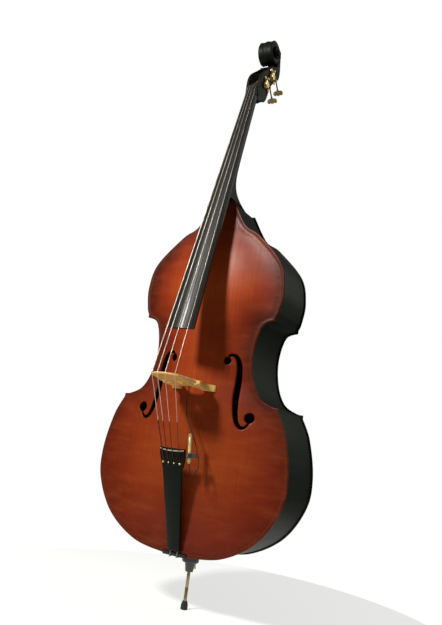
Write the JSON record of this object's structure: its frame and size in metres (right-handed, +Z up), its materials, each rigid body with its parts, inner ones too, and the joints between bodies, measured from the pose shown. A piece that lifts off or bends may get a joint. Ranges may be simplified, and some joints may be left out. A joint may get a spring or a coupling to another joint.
{
  "type": "double bass",
  "caption": "Double bass with arched top, f-holes, geared tuning machines, sliding endpin and a bridge pickup with its jack.",
  "frame": {"origin": "point where the endpin's rubber tip stands on the floor", "axes": "+Z up along the body to the scroll, -Y out of the front with the strings, +X to the treble side"},
  "size_m": [0.6566, 0.45, 1.97],
  "materials": {
    "top_varnish": "gloss",
    "dark_varnish": "gloss",
    "inner_wood": "matte",
    "spruce": "matte",
    "ebony": "satin",
    "tailpiece_black": "satin",
    "bridge_maple": "satin",
    "wire": "satin",
    "string_steel": "satin",
    "collar_black": "satin",
    "bronze": "satin",
    "rubber": "matte",
    "sensor_black": "matte",
    "lead_sheath": "satin",
    "strap": "matte",
    "dark_steel": "satin",
    "brass": "satin"
  },
  "bodies": {
    "root": {"top_plate": "top_varnish", "back_plate": "dark_varnish", "rib_upper_bass": "dark_varnish", "rib_upper_treble": "dark_varnish", "rib_waist_bass": "dark_varnish", "rib_waist_treble": "dark_varnish", "rib_lower_bass": "dark_varnish", "rib_lower_treble": "dark_varnish", "top_linings": "inner_wood", "back_linings": "inner_wood", "corner_blocks": "inner_wood", "neck_block": "inner_wood", "end_block": "inner_wood", "bass_bar": "spruce", "sound_post": "spruce", "neck_and_scroll": "dark_varnish", "fingerboard": "ebony", "nut": "ebony", "bridge": "bridge_maple", "saddle": "ebony", "tailpiece": "tailpiece_black", "tail_wire": "wire", "string_e": "string_steel", "string_a": "string_steel", "string_d": "string_steel", "string_g": "string_steel", "endpin_collar": "collar_black", "pickup_sensor": "sensor_black", "pickup_lead": "lead_sheath", "pickup_jack": "brass", "jack_strap": "strap", "machine_plate_e": "brass", "machine_plate_a": "brass", "machine_plate_d": "brass", "machine_plate_g": "brass", "plate_screws": "brass"},
    "key_e": {"worm_shaft_e": "dark_steel", "key_button_e": "brass"},
    "post_e": {"gear_e": "brass", "string_post_e": "brass", "string_wraps_e": "string_steel"},
    "key_a": {"worm_shaft_a": "dark_steel", "key_button_a": "brass"},
    "post_a": {"gear_a": "brass", "string_post_a": "brass", "string_wraps_a": "string_steel"},
    "key_d": {"worm_shaft_d": "dark_steel", "key_button_d": "brass"},
    "post_d": {"gear_d": "brass", "string_post_d": "brass", "string_wraps_d": "string_steel"},
    "key_g": {"worm_shaft_g": "dark_steel", "key_button_g": "brass"},
    "post_g": {"gear_g": "brass", "string_post_g": "brass", "string_wraps_g": "string_steel"},
    "endpin": {"endpin_rod": "bronze", "endpin_tip": "rubber"},
    "clamp_screw": {"thumb_screw": "brass"}
  },
  "joints": [
    {"name": "key_e_turn", "type": "hinge", "parent": "root", "child": "key_e", "pos_m": [-0.0365, 0.04356, 1.79578], "axis": [0, 0.682, -0.7314], "continuous": true},
    {"name": "post_e_turn", "type": "hinge", "parent": "root", "child": "post_e", "pos_m": [0, 0.032, 1.785], "axis": [1, 0, 0], "continuous": true},
    {"name": "key_a_turn", "type": "hinge", "parent": "root", "child": "key_a", "pos_m": [-0.0365, 0.08556, 1.85078], "axis": [0, 0.682, -0.7314], "continuous": true},
    {"name": "post_a_turn", "type": "hinge", "parent": "root", "child": "post_a", "pos_m": [0, 0.074, 1.84], "axis": [1, 0, 0], "continuous": true},
    {"name": "key_d_turn", "type": "hinge", "parent": "root", "child": "key_d", "pos_m": [0.0365, 0.06356, 1.82378], "axis": [0, 0.682, -0.7314], "continuous": true},
    {"name": "post_d_turn", "type": "hinge", "parent": "root", "child": "post_d", "pos_m": [0, 0.052, 1.813], "axis": [1, 0, 0], "continuous": true},
    {"name": "key_g_turn", "type": "hinge", "parent": "root", "child": "key_g", "pos_m": [0.0365, 0.02556, 1.76978], "axis": [0, 0.682, -0.7314], "continuous": true},
    {"name": "post_g_turn", "type": "hinge", "parent": "root", "child": "post_g", "pos_m": [0, 0.014, 1.759], "axis": [1, 0, 0], "continuous": true},
    {"name": "endpin_slide", "type": "slide", "parent": "root", "child": "endpin", "axis": [0, 0, 1], "range_m": [-0.12, 0.083]},
    {"name": "thumb_screw_turn", "type": "hinge", "parent": "root", "child": "clamp_screw", "pos_m": [0, 0.02, 0.122], "axis": [0, 1, 0], "range_deg": [0, 360]}
  ],
  "couplings": [
    {"joint": "post_e_turn", "follows": "key_e_turn", "ratio": 0.055556},
    {"joint": "post_a_turn", "follows": "key_a_turn", "ratio": 0.055556},
    {"joint": "post_d_turn", "follows": "key_d_turn", "ratio": 0.055556},
    {"joint": "post_g_turn", "follows": "key_g_turn", "ratio": 0.055556}
  ]
}
